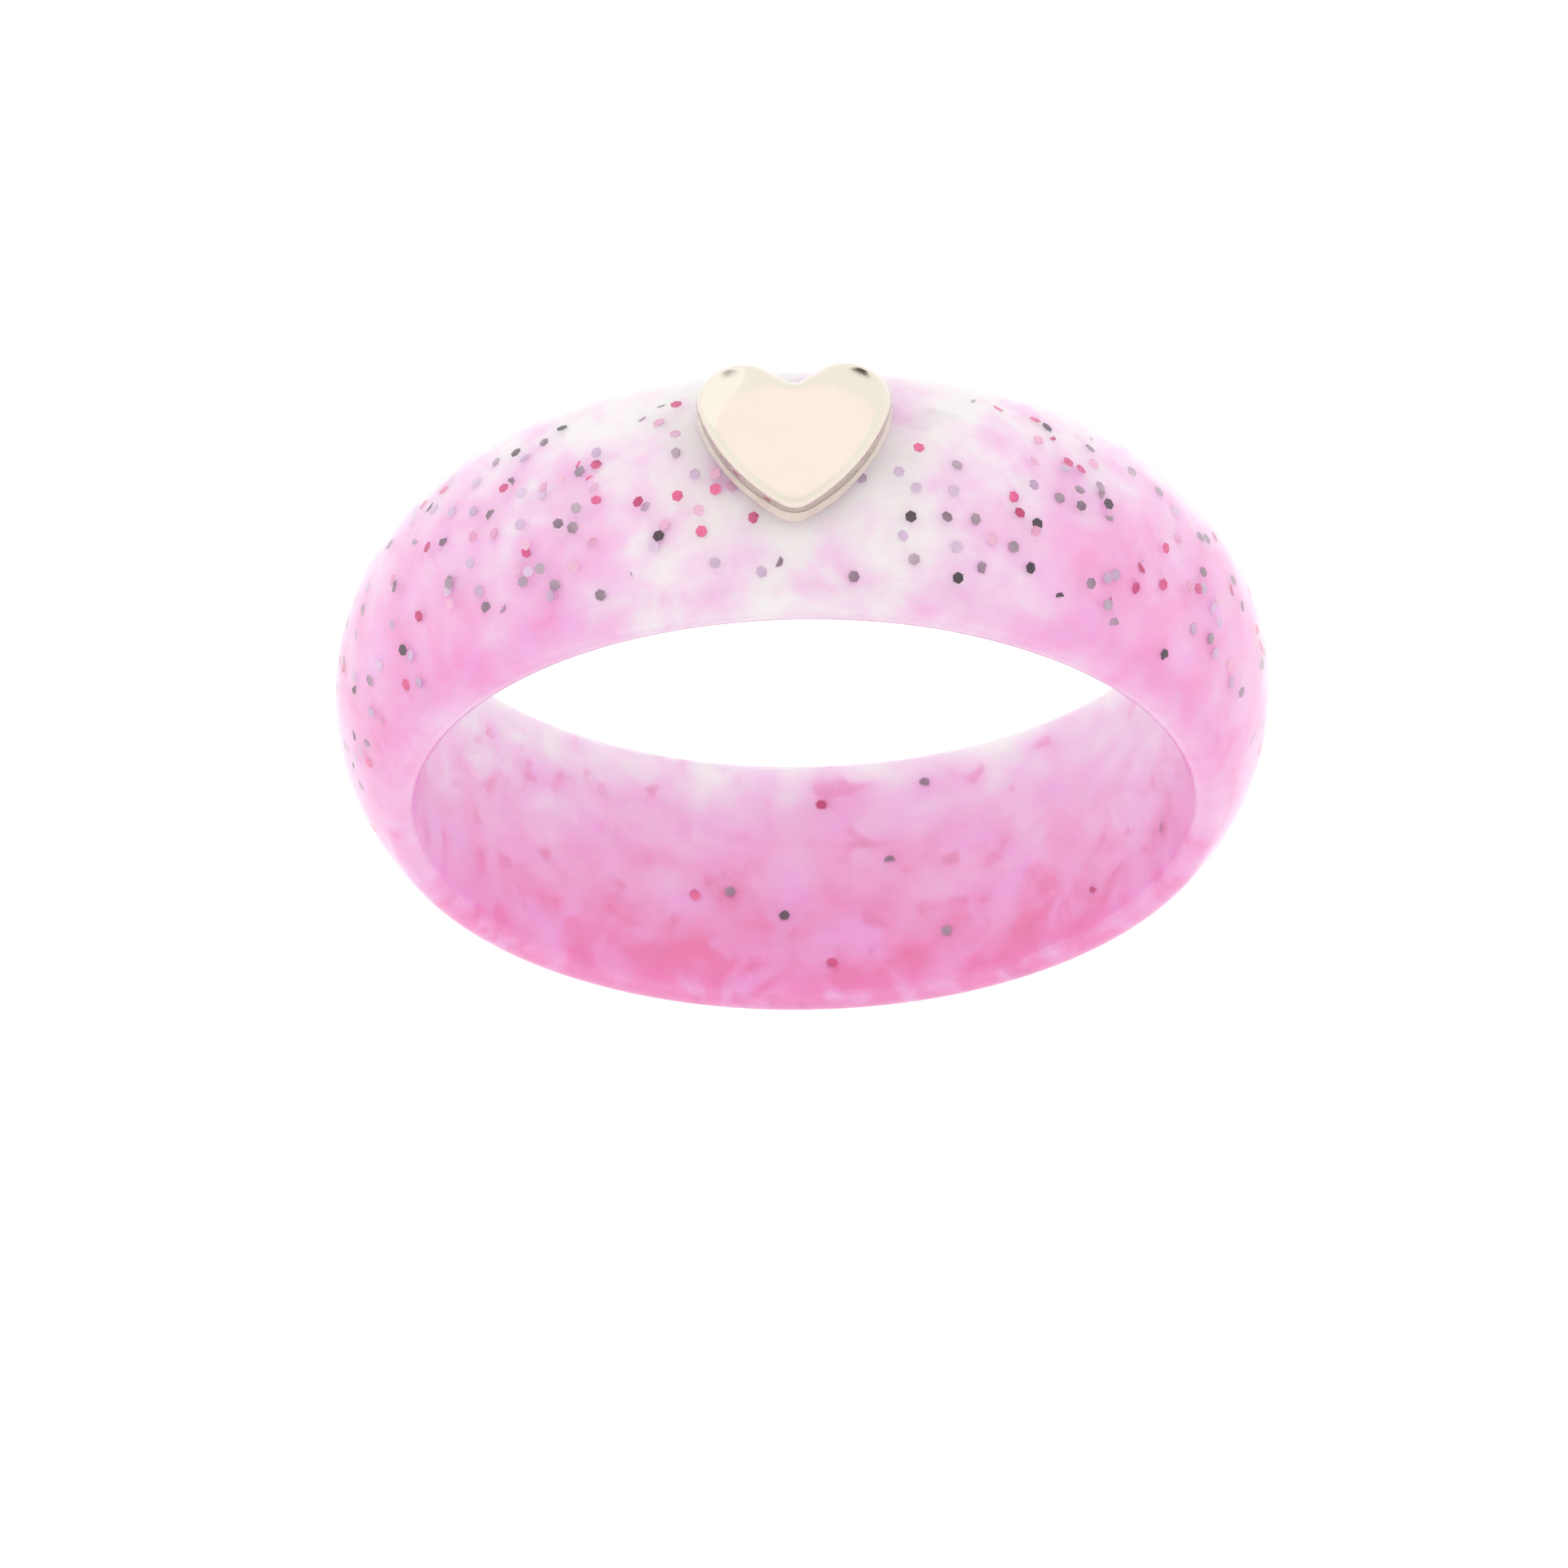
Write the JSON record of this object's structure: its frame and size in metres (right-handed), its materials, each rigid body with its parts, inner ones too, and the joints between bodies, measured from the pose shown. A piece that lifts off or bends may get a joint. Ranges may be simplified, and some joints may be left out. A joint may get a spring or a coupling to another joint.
{
  "type": "finger ring",
  "caption": "Finger ring with a domed clear resin band, hexagonal glitter cast inside it and a polished metal heart glued to its crown.",
  "frame": {"origin": "centre of the finger bore", "axes": "+Z towards the heart, Y along the bore with the heart's tip towards -Y, +X to the right"},
  "size_m": [0.021, 0.0062, 0.0219],
  "materials": {
    "resin": "glossy cast resin, clear under the heart and clouded with pink elsewhere",
    "heart_metal": "polished pale champagne gold plating",
    "adhesive": "clear glossy glue",
    "hot_pink_film": "metallised glitter film",
    "black_film": "dark metallised glitter film",
    "grey_film": "metallised glitter film",
    "lilac_film": "iridescent glitter film",
    "pale_pink_film": "translucent glitter film"
  },
  "bodies": {
    "root": {"resin_band": "resin", "heart_charm": "heart_metal", "heart_adhesive": "adhesive", "hot_pink_glitter": "hot_pink_film", "black_glitter": "black_film", "grey_glitter": "grey_film", "lilac_glitter": "lilac_film", "pale_pink_glitter": "pale_pink_film"}
  },
  "joints": []
}
